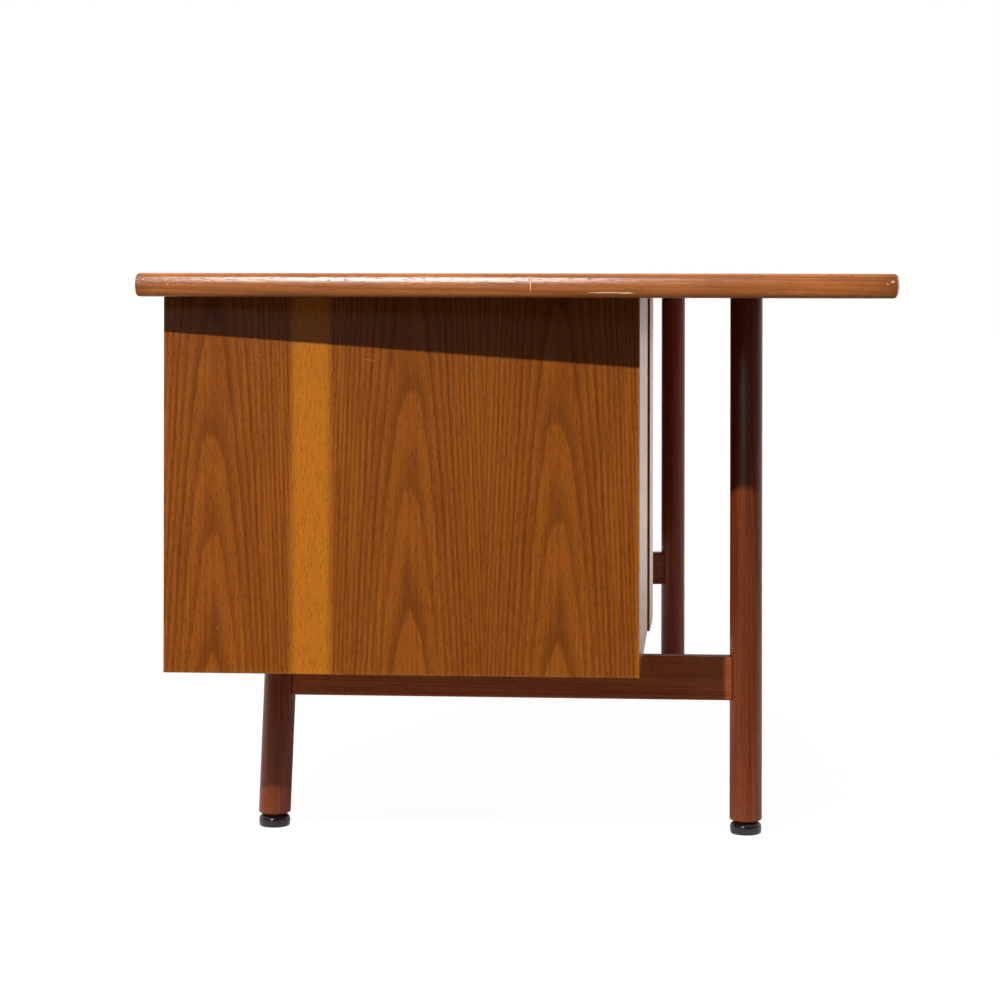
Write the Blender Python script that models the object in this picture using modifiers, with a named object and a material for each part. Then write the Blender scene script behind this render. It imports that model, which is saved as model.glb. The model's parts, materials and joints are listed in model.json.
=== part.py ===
"""A curved two-pedestal writing desk, as separate pieces of joinery.

Frame: metres, +Z up, the floor at z = 0. The origin is under the middle of the desk's plan. The
person at the desk sits on the -Y side, with the drawers, and visitors sit on the +Y side. +X is
the sitter's right. The plan is a slice of a ring: both long edges of the top are arcs about one
centre far behind the sitter, and the two end edges lie on radii from it.
"""

from math import asin, atan2, cos, pi, radians, sin, sqrt, tan

import bmesh
import bpy
from mathutils import Matrix, Vector

# ---------------------------------------------------------------- driving dimensions
TOP_HEIGHT = 0.737  # floor to writing surface
TOP_LENGTH = 2.136  # between the two visitor-side corners
TOP_DEPTH = 0.9355  # along an end edge
TOP_THICKNESS = 0.0295
TOP_VISITOR_RADIUS = 6.077  # of the long convex edge
LIPPING_WIDTH = 0.020
LIPPING_CROWN = 0.0027  # how far the edge bulges at mid thickness

PEDESTAL_YAW = radians(4.737)  # the two pedestals toe in towards the sitter
PEDESTAL_WIDTH = 0.456
PEDESTAL_DEPTH = 0.599
PEDESTAL_FLOOR_GAP = 0.2337  # floor to the underside of a pedestal
END_OVERHANG = 0.0602  # top past the pedestal's outer side, at the user corner
USER_OVERHANG = 0.0243  # top past the drawer fronts, at the user corner
CARCASS_BOARD = 0.018
CARCASS_BACK = 0.016
BOARD_ARRIS = 0.0006  # small bevel on every sawn edge

MODESTY_RADIUS = 4.0
MODESTY_BOARD = 0.016
MODESTY_PROUD = 0.003  # modesty panel's face past the pedestals' backs
MODESTY_GAP = 0.002  # shadow gap at each end of the modesty panel

LEG_DIAMETER = 0.0425
LEG_CHAMFER = 0.0055
USER_LEG_SETBACK = 0.116  # from the drawer fronts to the short leg's axis, at its top
USER_LEG_RAKE = radians(2.3)  # the short leg's foot kicks out to the sitter
VISITOR_LEG_SETBACK = 0.135  # from the pedestal's back to the long leg's axis
FRAME_OUTSET = 0.009  # end frame outboard of the pedestal's middle
STRETCHER_HEIGHT = 0.0573
STRETCHER_BOARD = 0.026
STRETCHER_ARRIS = 0.002

GLIDE_DIAMETER = 0.0415
GLIDE_HEIGHT = 0.0155
GLIDE_TOP_RADIUS = 0.0115  # flat on top of the dome, where the leg sits
GLIDE_WIDEST = 0.0065  # height of the dome's widest point
GLIDE_HEEL_HEIGHT = 0.0020
GLIDE_HEEL_INSET = 0.0012  # the rim drawn in at the heel's height
GLIDE_SOLE_INSET = 0.0035  # and at the floor
GLIDE_STEM_DIAMETER = 0.008
GLIDE_STEM_LENGTH = 0.028
GLIDE_BORE_EXTRA = 0.002  # bore deeper than the stem
GLIDE_BORE_CLEARANCE = 0.0004

DRAWER_UNITS = {"right": (("bottom", 1), ("middle", 1), ("top", 1)), "left": (("file", 2), ("top", 1))}
FRONT_THICKNESS = 0.019
FRONT_GAP = 0.0025  # round every drawer front
PULL_WIDTH = 0.120
PULL_DEPTH = 0.020
DRAWER_REAR_GAP = 0.0437  # a shut drawer to the pedestal's back
DRAWER_SIDE = 0.012
DRAWER_BACK = 0.012
DRAWER_BOTTOM = 0.005
DRAWER_TOP_CLEARANCE = 0.014  # a drawer's side below its front's top edge
DRAWER_SILL = 0.008  # a drawer's side above its front's bottom edge
BOTTOM_GROOVE_HEIGHT = 0.009  # from the side's lower edge up to the bottom board
BOTTOM_GROOVE_DEPTH = 0.005
SLIDE_CLEARANCE = 0.0015  # drawer side to carcass side
RUNNER_HEIGHT = 0.010
RUNNER_SETBACK = 0.020  # runner short of the drawer's side, at each end
RUNNER_GROOVE_DEPTH = 0.006
RUNNER_CLEARANCE = 0.0006
RUNNER_RISE = 0.55  # share of a drawer side's height up to its runner

FIT = 0.0003  # between pieces that touch
ARC_STEPS = 32
MODESTY_STEPS = 20
CROWN_STEPS = 8
TURNED_STEPS = 40
GLIDE_STEPS = 24
PULL_STEPS = 12
GLIDE_DOME_STEPS = 5
CUTTER_REACH = 0.010  # how far a cutter passes the face it starts from

# ---------------------------------------------------------------- places worked out from them
TOP_UNDERSIDE = TOP_HEIGHT - TOP_THICKNESS
TOP_USER_RADIUS = TOP_VISITOR_RADIUS - TOP_DEPTH
TOP_HALF_ANGLE = asin(TOP_LENGTH / 2 / TOP_VISITOR_RADIUS)
# the ring's centre, placed so that the top's box is centred on the origin in plan
RING_CENTRE_Y = -(TOP_VISITOR_RADIUS + TOP_USER_RADIUS * cos(TOP_HALF_ANGLE)) / 2
PEDESTAL_TOP = TOP_UNDERSIDE - FIT
PEDESTAL_HEIGHT = PEDESTAL_TOP - PEDESTAL_FLOOR_GAP
CLEAR_FLOOR = PEDESTAL_FLOOR_GAP + CARCASS_BOARD
CLEAR_HEIGHT = TOP_UNDERSIDE - CLEAR_FLOOR
CLEAR_WIDTH = PEDESTAL_WIDTH - 2 * CARCASS_BOARD
FRONT_FACE = -PEDESTAL_DEPTH / 2
BACK_FACE = PEDESTAL_DEPTH / 2
FRAME_TOP = PEDESTAL_FLOOR_GAP - FIT
DRAWER_LENGTH = PEDESTAL_DEPTH - CARCASS_BACK - DRAWER_REAR_GAP - FRONT_THICKNESS - FIT
RUNNER_LENGTH = DRAWER_LENGTH - 2 * RUNNER_SETBACK
LEG_RADIUS = LEG_DIAMETER / 2
LEG_FOOT = GLIDE_HEIGHT + FIT
SIDES = {"right": 1, "left": -1}

# ---------------------------------------------------------------- scene, collections, materials
for old in list(bpy.data.objects):
    bpy.data.objects.remove(old, do_unlink=True)

DESK = bpy.data.collections.new("writing_desk")
CUTTERS = bpy.data.collections.new("cutters")
bpy.context.scene.collection.children.link(DESK)
bpy.context.scene.collection.children.link(CUTTERS)


def wood(name, colour, roughness):
    """A Principled material in one plain colour."""
    material = bpy.data.materials.new(name)
    material.use_nodes = True
    shader = material.node_tree.nodes["Principled BSDF"]
    shader.inputs["Base Color"].default_value = (*colour, 1.0)
    shader.inputs["Roughness"].default_value = roughness
    shader.inputs["Metallic"].default_value = 0.0
    material.diffuse_color = (*colour, 1.0)
    return material


FINISHES = {
    "teak_veneer": ((0.27, 0.078, 0.016), 0.42),
    "teak_edge": ((0.36, 0.14, 0.05), 0.35),
    "walnut_frame": ((0.13, 0.035, 0.016), 0.45),
    "drawer_beech": ((0.52, 0.33, 0.17), 0.55),
    "black_glide": ((0.012, 0.011, 0.013), 0.2),
}


def finish(obj, slot):
    """Give a piece its own material, named for the piece and coloured for its slot."""
    colour, roughness = FINISHES[slot]
    obj.data.materials.append(wood(f"{slot}_{obj.name}", colour, roughness))


def add(obj, slot, parent=None, collection=DESK):
    """Link a new object, finish it and hang it on its parent empty."""
    collection.objects.link(obj)
    obj.parent = parent
    finish(obj, slot)
    return obj


def empty(name, location, turn=0.0, parent=None):
    """An axis or a local frame: not a piece."""
    holder = bpy.data.objects.new(name, None)
    holder.location = location
    holder.rotation_euler = (0.0, 0.0, turn)
    holder.parent = parent
    DESK.objects.link(holder)
    return holder


def make_cutter(obj):
    """Keep a solid out of the model, for Booleans only."""
    obj.hide_render = True
    obj.display_type = "WIRE"
    CUTTERS.objects.link(obj)
    return obj


def cut(obj, cutter, name):
    """Take the cutter's shape out of a piece."""
    boolean = obj.modifiers.new(name, "BOOLEAN")
    boolean.operation = "DIFFERENCE"
    boolean.solver = "EXACT"
    boolean.object = cutter


# ---------------------------------------------------------------- shape makers
def mesh_object(name, shape):
    """Turn a finished bmesh into an object, faces pointing out."""
    bmesh.ops.recalc_face_normals(shape, faces=shape.faces)
    mesh = bpy.data.meshes.new(name)
    shape.to_mesh(mesh)
    shape.free()
    return bpy.data.objects.new(name, mesh)


def board(name, low, high, slot, parent=None, arris=BOARD_ARRIS):
    """A sawn board between two corners, with its edges just broken."""
    shape = bmesh.new()
    size = Vector(high) - Vector(low)
    middle = (Vector(high) + Vector(low)) / 2
    bmesh.ops.create_cube(shape, size=1.0, matrix=Matrix.Diagonal(size).to_4x4())
    obj = mesh_object(name, shape)
    obj.location = middle
    bevel = obj.modifiers.new("arris", "BEVEL")
    bevel.width = arris
    bevel.segments = 1
    return add(obj, slot, parent)


def outline_board(name, outline, thickness, slot, location, rotation=(0.0, 0.0, 0.0), parent=None):
    """A board of any flat outline: a filled 2D curve, as thick as the board about its plane."""
    curve = bpy.data.curves.new(name, "CURVE")
    curve.dimensions = "2D"
    curve.fill_mode = "BOTH"
    curve.extrude = thickness / 2
    spline = curve.splines.new("POLY")
    spline.points.add(len(outline) - 1)
    for point, (x, y) in zip(spline.points, outline):
        point.co = (x, y, 0.0, 1.0)
    spline.use_cyclic_u = True
    obj = bpy.data.objects.new(name, curve)
    obj.location = location
    obj.rotation_euler = rotation
    return add(obj, slot, parent)


def loft(name, rings, slot):
    """A closed solid through rings of equal point count, with flat ends: for mitred mouldings."""
    shape = bmesh.new()
    rows = [[shape.verts.new(point) for point in ring] for ring in rings]
    for row, after in zip(rows, rows[1:]):
        for i in range(len(row)):
            j = (i + 1) % len(row)
            shape.faces.new((row[i], row[j], after[j], after[i]))
    shape.faces.new(rows[0])
    shape.faces.new(rows[-1])
    return add(mesh_object(name, shape), slot)


def cylinder(name, radius, low, high, steps, chamfer=0.0):
    """An upright round bar about the object's own Z, its lower rim chamfered if asked."""
    shape = bmesh.new()
    place = Matrix.Translation((0.0, 0.0, (low + high) / 2))
    bmesh.ops.create_cone(
        shape, cap_ends=True, segments=steps, radius1=radius, radius2=radius, depth=high - low, matrix=place
    )
    if chamfer:
        rim = [e for e in shape.edges if all(v.co.z < (low + high) / 2 for v in e.verts)]
        bmesh.ops.bevel(shape, geom=rim, offset=chamfer, segments=1, affect="EDGES", profile=0.5)
    return mesh_object(name, shape)


def raked(obj, fixed_height, slope):
    """Lean an upright bar towards -Y below a height, keeping its level cuts level."""
    lean = Matrix.Identity(4)
    lean[1][2] = slope
    lean[1][3] = -slope * fixed_height
    obj.data.transform(lean)
    return obj


def turned(name, profile, steps):
    """A turned solid from a profile of (radius, height) that runs down its outer side."""
    mesh = bpy.data.meshes.new(name)
    points = [(radius, 0.0, height) for radius, height in profile]
    mesh.from_pydata(points, [(i, i + 1) for i in range(len(points) - 1)], [])
    obj = bpy.data.objects.new(name, mesh)
    screw = obj.modifiers.new("turn", "SCREW")
    screw.axis = "Z"
    screw.steps = steps
    screw.render_steps = steps
    screw.use_merge_vertices = True
    screw.merge_threshold = 0.00002
    screw.use_smooth_shade = True
    return obj


# ---------------------------------------------------------------- tabletop
def ring_point(radius, angle):
    """A point in plan on a circle about the ring's centre, its angle taken from +Y towards +X."""
    return radius * sin(angle), RING_CENTRE_Y + radius * cos(angle)


def end_inset_angle(radius, inset):
    """Half angle at a radius where a line parallel to the end edge, inset by so much, crosses it."""
    return TOP_HALF_ANGLE - asin(inset / radius)


def arc(radius, half_angle, steps):
    """Plan points along a circle about the ring's centre, left to right."""
    return [ring_point(radius, -half_angle + 2 * half_angle * i / steps) for i in range(steps + 1)]


def lipping_profile():
    """The lipping's section as (inset from the outer edge, height): square inside, crowned outside."""
    crown_radius = (TOP_THICKNESS**2 / 4 + LIPPING_CROWN**2) / (2 * LIPPING_CROWN)
    sweep = asin(TOP_THICKNESS / 2 / crown_radius)
    middle = TOP_UNDERSIDE + TOP_THICKNESS / 2
    section = [(LIPPING_WIDTH, TOP_HEIGHT), (LIPPING_WIDTH, TOP_UNDERSIDE)]
    for i in range(CROWN_STEPS + 1):
        angle = -sweep + 2 * sweep * i / CROWN_STEPS
        section.append((crown_radius * (1 - cos(angle)), middle + crown_radius * sin(angle)))
    return section


def top_pieces():
    """The veneered core and the four solid lippings, mitred at the corners."""
    inset = LIPPING_WIDTH + FIT
    outer = arc(TOP_VISITOR_RADIUS - inset, end_inset_angle(TOP_VISITOR_RADIUS - inset, inset), ARC_STEPS)
    inner = arc(TOP_USER_RADIUS + inset, end_inset_angle(TOP_USER_RADIUS + inset, inset), ARC_STEPS)
    middle = TOP_UNDERSIDE + TOP_THICKNESS / 2
    outline_board("tabletop_core", outer + inner[::-1], TOP_THICKNESS, "teak_veneer", (0, 0, middle))

    section = lipping_profile()
    mitre = FIT / 2

    def long_edge(name, edge_radius, inward):
        """Sweep the section along one long arc; inward is the sign from the edge to the core."""
        rings = []
        for i in range(ARC_STEPS + 1):
            share = -1 + 2 * i / ARC_STEPS
            ring = []
            for depth, height in section:
                radius = edge_radius + inward * depth
                angle = share * end_inset_angle(radius, depth + mitre)
                ring.append((*ring_point(radius, angle), height))
            rings.append(ring)
        loft(name, rings, "teak_edge")

    def end_edge(name, side):
        """Sweep the section along one straight end, from the user corner to the visitor corner."""
        rings = []
        for edge_radius, inward in ((TOP_USER_RADIUS, 1), (TOP_VISITOR_RADIUS, -1)):
            ring = []
            for depth, height in section:
                radius = edge_radius + inward * (depth + mitre)
                angle = side * end_inset_angle(radius, depth)
                ring.append((*ring_point(radius, angle), height))
            rings.append(ring)
        loft(name, rings, "teak_edge")

    long_edge("lipping_visitor", TOP_VISITOR_RADIUS, -1)
    long_edge("lipping_user", TOP_USER_RADIUS, 1)
    for side, sign in SIDES.items():
        end_edge(f"lipping_{side}_end", sign)


# ---------------------------------------------------------------- pedestals
def pedestal_frame(side):
    """Plan centre and turn of a pedestal, hung from the top's user corner on that side."""
    sign = SIDES[side]
    corner = Vector(ring_point(TOP_USER_RADIUS, sign * TOP_HALF_ANGLE))
    turn = Matrix.Rotation(-sign * PEDESTAL_YAW, 2)
    local = Vector((sign * (PEDESTAL_WIDTH / 2 + END_OVERHANG), -(PEDESTAL_DEPTH / 2 + USER_OVERHANG)))
    centre = corner - turn @ local
    return centre, -sign * PEDESTAL_YAW


def pedestal(side, frame):
    """The carcass: two sides, a bottom and a back between them. The tabletop closes it above."""
    sign = SIDES[side]
    low, high = PEDESTAL_FLOOR_GAP, PEDESTAL_TOP
    inside = CLEAR_WIDTH / 2 - FIT
    for place, edge in (("outer", sign), ("inner", -sign)):
        x_out = edge * PEDESTAL_WIDTH / 2
        x_in = edge * CLEAR_WIDTH / 2
        board(
            f"{side}_pedestal_{place}_side",
            (min(x_out, x_in), FRONT_FACE, low),
            (max(x_out, x_in), BACK_FACE, high),
            "teak_veneer",
            frame,
        )
    board(
        f"{side}_pedestal_back",
        (-inside, BACK_FACE - CARCASS_BACK, low),
        (inside, BACK_FACE, high),
        "teak_veneer",
        frame,
    )
    board(
        f"{side}_pedestal_bottom",
        (-inside, FRONT_FACE, low),
        (inside, BACK_FACE - CARCASS_BACK - FIT, CLEAR_FLOOR),
        "teak_veneer",
        frame,
    )


# ---------------------------------------------------------------- drawers
def front_outline(width, height):
    """A drawer front seen from the user side, a shallow scoop out of the middle of its top edge."""
    radius = (PULL_WIDTH**2 / 4 + PULL_DEPTH**2) / (2 * PULL_DEPTH)
    sweep = asin(PULL_WIDTH / 2 / radius)
    outline = [(-width / 2, 0.0), (width / 2, 0.0), (width / 2, height)]
    for i in range(PULL_STEPS + 1):
        angle = sweep - 2 * sweep * i / PULL_STEPS
        outline.append((radius * sin(angle), height - PULL_DEPTH + radius * (1 - cos(angle))))
    outline.append((-width / 2, height))
    return outline


def drawer_side_outline(height, runner_middle, outward):
    """Section across a drawer's side, x outwards: one groove for the runner, one for the bottom."""
    half_runner = RUNNER_HEIGHT / 2 + RUNNER_CLEARANCE
    groove_low = BOTTOM_GROOVE_HEIGHT - FIT
    groove_high = BOTTOM_GROOVE_HEIGHT + DRAWER_BOTTOM + FIT
    section = [
        (0.0, 0.0),
        (0.0, runner_middle - half_runner),
        (-RUNNER_GROOVE_DEPTH, runner_middle - half_runner),
        (-RUNNER_GROOVE_DEPTH, runner_middle + half_runner),
        (0.0, runner_middle + half_runner),
        (0.0, height),
        (-DRAWER_SIDE, height),
        (-DRAWER_SIDE, groove_high),
        (-DRAWER_SIDE + BOTTOM_GROOVE_DEPTH, groove_high),
        (-DRAWER_SIDE + BOTTOM_GROOVE_DEPTH, groove_low),
        (-DRAWER_SIDE, groove_low),
        (-DRAWER_SIDE, 0.0),
    ]
    return [(outward * x, z) for x, z in section]


def drawer(side, name, floor, height, frame):
    """One drawer whose front's lower edge is at a height, with the pair of runners that carry it."""
    label = f"{side}_{name}_drawer"
    holder = empty(f"{label}_slide", (0.0, FRONT_FACE, floor), 0.0, frame)
    upright = (pi / 2, 0.0, 0.0)
    half = CLEAR_WIDTH / 2
    outline_board(
        f"{label}_front",
        front_outline(CLEAR_WIDTH - 2 * FRONT_GAP, height),
        FRONT_THICKNESS,
        "teak_veneer",
        (0.0, FRONT_THICKNESS / 2, 0.0),
        upright,
        holder,
    )
    start = FRONT_THICKNESS + FIT
    end = start + DRAWER_LENGTH
    side_height = height - DRAWER_SILL - DRAWER_TOP_CLEARANCE - PULL_DEPTH / 2
    runner_middle = side_height * RUNNER_RISE
    outer = half - SLIDE_CLEARANCE
    inner = outer - DRAWER_SIDE
    for hand, outward in (("right", 1), ("left", -1)):
        outline_board(
            f"{label}_{hand}_side",
            drawer_side_outline(side_height, runner_middle, outward),
            DRAWER_LENGTH,
            "drawer_beech",
            (outward * outer, (start + end) / 2, DRAWER_SILL),
            upright,
            holder,
        )
        runner_reach = SLIDE_CLEARANCE + RUNNER_GROOVE_DEPTH - RUNNER_CLEARANCE
        x_near = outward * (half - FIT)
        x_far = outward * (half - runner_reach)
        middle = floor + DRAWER_SILL + runner_middle
        runner_start = FRONT_FACE + FRONT_THICKNESS + RUNNER_SETBACK
        board(
            f"{label}_{hand}_runner",
            (min(x_near, x_far), runner_start, middle - RUNNER_HEIGHT / 2),
            (max(x_near, x_far), runner_start + RUNNER_LENGTH, middle + RUNNER_HEIGHT / 2),
            "drawer_beech",
            frame,
        )
    bottom_low = DRAWER_SILL + BOTTOM_GROOVE_HEIGHT
    bottom_half = inner + BOTTOM_GROOVE_DEPTH - FIT
    board(
        f"{label}_bottom",
        (-bottom_half, start, bottom_low),
        (bottom_half, end, bottom_low + DRAWER_BOTTOM),
        "drawer_beech",
        holder,
    )
    board(
        f"{label}_back",
        (-inner + FIT, end - DRAWER_BACK, bottom_low + DRAWER_BOTTOM + FIT),
        (inner - FIT, end, DRAWER_SILL + side_height),
        "drawer_beech",
        holder,
    )


def drawers(side, frame):
    """Stack the pedestal's drawers from its bottom up, in equal units with a gap round each front."""
    units = sum(count for _, count in DRAWER_UNITS[side])
    unit = (CLEAR_HEIGHT - FRONT_GAP * (units + 1)) / units
    floor = CLEAR_FLOOR + FRONT_GAP
    for name, count in DRAWER_UNITS[side]:
        height = unit * count + FRONT_GAP * (count - 1)
        drawer(side, name, floor, height, frame)
        floor += height + FRONT_GAP


# ---------------------------------------------------------------- modesty panel
def modesty_panel():
    """The bowed board between the pedestals' inner back corners, with a shadow gap at each end."""
    centre, turn = pedestal_frame("right")
    place = Matrix.Rotation(turn, 2)
    corner = centre + place @ Vector((-PEDESTAL_WIDTH / 2, BACK_FACE))
    edge = centre + place @ Vector((-PEDESTAL_WIDTH / 2 - MODESTY_GAP, BACK_FACE))
    along = place @ Vector((0.0, 1.0))
    # the visitor face passes so far past the corner, measured along +Y
    middle_y = corner.y + MODESTY_PROUD - sqrt(MODESTY_RADIUS**2 - corner.x**2)

    def half_angle(radius):
        """Where the pedestal's inner side, set off by the gap, crosses a circle of the bow."""
        from_middle = edge - Vector((0.0, middle_y))
        reach = from_middle.dot(along)
        travel = -reach + sqrt(reach**2 - from_middle.length_squared + radius**2)
        hit = from_middle + along * travel
        return atan2(hit.x, hit.y)

    def bow(radius):
        """Plan points of one face, left to right."""
        reach = half_angle(radius)
        angles = [-reach + 2 * reach * i / MODESTY_STEPS for i in range(MODESTY_STEPS + 1)]
        return [(radius * sin(angle), middle_y + radius * cos(angle)) for angle in angles]

    outline = bow(MODESTY_RADIUS) + bow(MODESTY_RADIUS - MODESTY_BOARD)[::-1]
    middle_z = (PEDESTAL_FLOOR_GAP + PEDESTAL_TOP) / 2
    outline_board("modesty_panel", outline, PEDESTAL_HEIGHT, "teak_veneer", (0.0, 0.0, middle_z))


# ---------------------------------------------------------------- end frames and glides
def glide(name, leg_centre, frame):
    """A domed plastic foot on a stem, its origin on its axis at the floor."""
    holder = empty(f"{name}_screw", (*leg_centre, 0.0), 0.0, frame)
    stem = GLIDE_STEM_DIAMETER / 2
    radius = GLIDE_DIAMETER / 2
    profile = [(0.0, GLIDE_HEIGHT + GLIDE_STEM_LENGTH), (stem, GLIDE_HEIGHT + GLIDE_STEM_LENGTH)]
    profile.append((stem, GLIDE_HEIGHT))
    for i in range(GLIDE_DOME_STEPS + 1):
        angle = pi / 2 * i / GLIDE_DOME_STEPS
        out = GLIDE_TOP_RADIUS + (radius - GLIDE_TOP_RADIUS) * sin(angle)
        profile.append((out, GLIDE_WIDEST + (GLIDE_HEIGHT - GLIDE_WIDEST) * cos(angle)))
    profile.append((radius - GLIDE_HEEL_INSET, GLIDE_HEEL_HEIGHT))
    profile.append((radius - GLIDE_SOLE_INSET, 0.0))
    profile.append((0.0, 0.0))
    return add(turned(name, profile, GLIDE_STEPS), "black_glide", holder)


def end_frame(side, frame):
    """A short raked leg under the pedestal, a full-height leg behind it and the stretcher between."""
    x = SIDES[side] * FRAME_OUTSET
    short_y = FRONT_FACE + USER_LEG_SETBACK
    long_y = BACK_FACE + VISITOR_LEG_SETBACK
    slope = tan(USER_LEG_RAKE)
    foot_y = short_y - slope * (FRAME_TOP - LEG_FOOT)

    short_leg = cylinder(f"{side}_user_leg", LEG_RADIUS, LEG_FOOT, FRAME_TOP, TURNED_STEPS, LEG_CHAMFER)
    raked(short_leg, FRAME_TOP, slope)
    short_leg.location = (x, short_y, 0.0)
    long_leg = cylinder(
        f"{side}_visitor_leg", LEG_RADIUS, LEG_FOOT, TOP_UNDERSIDE - FIT, TURNED_STEPS, LEG_CHAMFER
    )
    long_leg.location = (x, long_y, 0.0)
    stretcher = board(
        f"{side}_stretcher",
        (x - STRETCHER_BOARD / 2, short_y, FRAME_TOP - STRETCHER_HEIGHT),
        (x + STRETCHER_BOARD / 2, long_y, FRAME_TOP),
        "walnut_frame",
        frame,
        STRETCHER_ARRIS,
    )

    for leg, y, lean in ((short_leg, short_y, slope), (long_leg, long_y, 0.0)):
        add(leg, "walnut_frame", frame)
        low = FRAME_TOP - STRETCHER_HEIGHT - CUTTER_REACH
        high = FRAME_TOP + CUTTER_REACH
        cope = cylinder(f"{leg.name}_cope", LEG_RADIUS + FIT, low, high, TURNED_STEPS)
        raked(cope, FRAME_TOP, lean)
        cope.location = (x, y, 0.0)
        cope.parent = frame
        cut(stretcher, make_cutter(cope), "cope")

    bore_radius = GLIDE_STEM_DIAMETER / 2 + GLIDE_BORE_CLEARANCE
    bore_top = GLIDE_HEIGHT + GLIDE_STEM_LENGTH + GLIDE_BORE_EXTRA
    for leg, y in ((short_leg, foot_y), (long_leg, long_y)):
        bore = cylinder(f"{leg.name}_bore", bore_radius, LEG_FOOT - CUTTER_REACH, bore_top, GLIDE_STEPS)
        bore.location = (x, y, 0.0)
        bore.parent = frame
        cut(leg, make_cutter(bore), "stem bore")
        glide(f"{leg.name}_glide", (x, y), frame)


# ---------------------------------------------------------------- the desk
def build():
    """Make every piece."""
    top_pieces()
    modesty_panel()
    for side in SIDES:
        centre, turn = pedestal_frame(side)
        frame = empty(f"{side}_pedestal_frame", (centre.x, centre.y, 0.0), turn)
        pedestal(side, frame)
        drawers(side, frame)
        end_frame(side, frame)
    for obj in DESK.objects:
        if obj.type == "MESH":
            obj.data.shade_smooth()
            obj.data.set_sharp_from_angle(angle=radians(35))


build()
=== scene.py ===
import json
from math import atan2, cos, pi, radians, sin

import bpy
import numpy as np
from mathutils import Matrix, Vector


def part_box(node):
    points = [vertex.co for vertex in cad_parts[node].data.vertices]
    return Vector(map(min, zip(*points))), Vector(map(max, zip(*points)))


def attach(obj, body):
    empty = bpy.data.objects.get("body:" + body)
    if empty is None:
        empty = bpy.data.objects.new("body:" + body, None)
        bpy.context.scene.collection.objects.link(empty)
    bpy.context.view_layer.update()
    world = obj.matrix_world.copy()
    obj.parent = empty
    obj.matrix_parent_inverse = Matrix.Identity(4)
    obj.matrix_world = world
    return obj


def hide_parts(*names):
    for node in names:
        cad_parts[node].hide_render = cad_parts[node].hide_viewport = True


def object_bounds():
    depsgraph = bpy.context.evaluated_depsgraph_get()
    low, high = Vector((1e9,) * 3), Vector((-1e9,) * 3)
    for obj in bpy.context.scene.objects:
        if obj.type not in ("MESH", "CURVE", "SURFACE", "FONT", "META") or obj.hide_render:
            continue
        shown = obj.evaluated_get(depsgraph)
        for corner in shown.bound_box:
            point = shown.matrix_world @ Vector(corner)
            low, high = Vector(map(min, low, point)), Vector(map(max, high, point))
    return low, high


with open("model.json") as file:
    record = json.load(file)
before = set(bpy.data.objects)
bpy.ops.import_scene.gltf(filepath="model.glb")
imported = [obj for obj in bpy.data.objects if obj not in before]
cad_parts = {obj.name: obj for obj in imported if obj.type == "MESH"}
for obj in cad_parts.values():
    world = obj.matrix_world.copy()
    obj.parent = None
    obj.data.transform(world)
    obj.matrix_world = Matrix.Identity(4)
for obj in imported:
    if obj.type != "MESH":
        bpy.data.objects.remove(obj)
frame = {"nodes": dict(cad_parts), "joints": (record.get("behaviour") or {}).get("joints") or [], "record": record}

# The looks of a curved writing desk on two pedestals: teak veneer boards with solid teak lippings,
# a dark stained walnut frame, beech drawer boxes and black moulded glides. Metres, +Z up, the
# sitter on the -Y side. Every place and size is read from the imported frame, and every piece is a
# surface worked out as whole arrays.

cad_low, cad_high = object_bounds()

# ---- how the pieces are finished
EDGE_TURNS = (0.0, 22.5, 45.0)  # degrees, grid lines through half of a rounded edge
EDGE_STEPS = (0.0008, 0.003, 0.008, 0.020)  # then this far in from the rounding
PLAIN_STEP = 0.030  # and this far apart over the flat of a board

VENEER_ARRIS = 0.0008  # radius that use has given a veneered board's edges
FRONT_ARRIS = 0.0012
BOX_ARRIS = 0.0007
TOP_JOINT_ARRIS = 0.00025  # the core's edge, tight against its lipping
LIPPING_ARRIS = 0.0045  # well rounded by hand
LIPPING_ROUND = 0.055  # radius of the crown between its arrises
STRETCHER_ARRIS = 0.0025
SWEEP_STEP = 0.020  # along a lipping
CROWN_STEPS = 14
ROUND_STEPS = 72  # round a leg

LEAF_WIDTH = 0.2175  # one leaf of veneer, between its two joints
LEAF_HEART = 0.124  # from the leaf's sapwood joint to the middle of its flames
SAPWOOD_FADE = 0.007  # half the width over which the sapwood's edge fades
SLICE_DEPTH = 0.110  # how far from the log's heart the leaves were sliced
WEAR_REACH = 0.0010  # how far in from an edge the finish has rubbed thin
CORNER_DARK_REACH = 0.022  # how far in from their corners the lippings are painted darker
UNDER_SHADE = 0.9  # and how much painted shade darkens their lower edge, where the crown turns away from the lamp
# how far the corner darkening and the painted shade go towards the dark colour
CORNER_DARK_AND_SHADE_SHARE = 0.6
SHARP_ANGLE = radians(40)  # an edge sharper than this is shaded as an edge
SAME = 1e-5  # places this close are one
FIT = 0.0003  # between pieces that touch
MITRE_GAP = 0.0001  # half the gap at a lipping's mitre

RING_START, RING_END = 0.07, 0.75  # a ring's dark line starts sharply and fades by here, as shares
RING_WEAKEST = 0.45
SAPWOOD_WANDER = 0.002
RUB_PER_METRE = 90.0  # patches of 11 mm where the edge is rubbed
SPECK_PER_METRE = 900.0  # 1.1 mm orange peel on the moulding
DUST_PER_METRE = 220.0  # 4.5 mm patches of dust

SIDES = {"right": 1, "left": -1}
BODY = {node: body for body, nodes in frame["record"]["behaviour"]["bodies"].items() for node in nodes}
JOINTS = {joint["name"]: joint for joint in frame["joints"]}


# ---- places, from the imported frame
def node_points(name):
    """A CAD node's vertices, one row each."""
    vertices = frame["nodes"][name].data.vertices
    flat = np.empty(len(vertices) * 3, np.float32)
    vertices.foreach_get("co", flat)
    return flat.reshape(-1, 3).astype(float)


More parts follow.
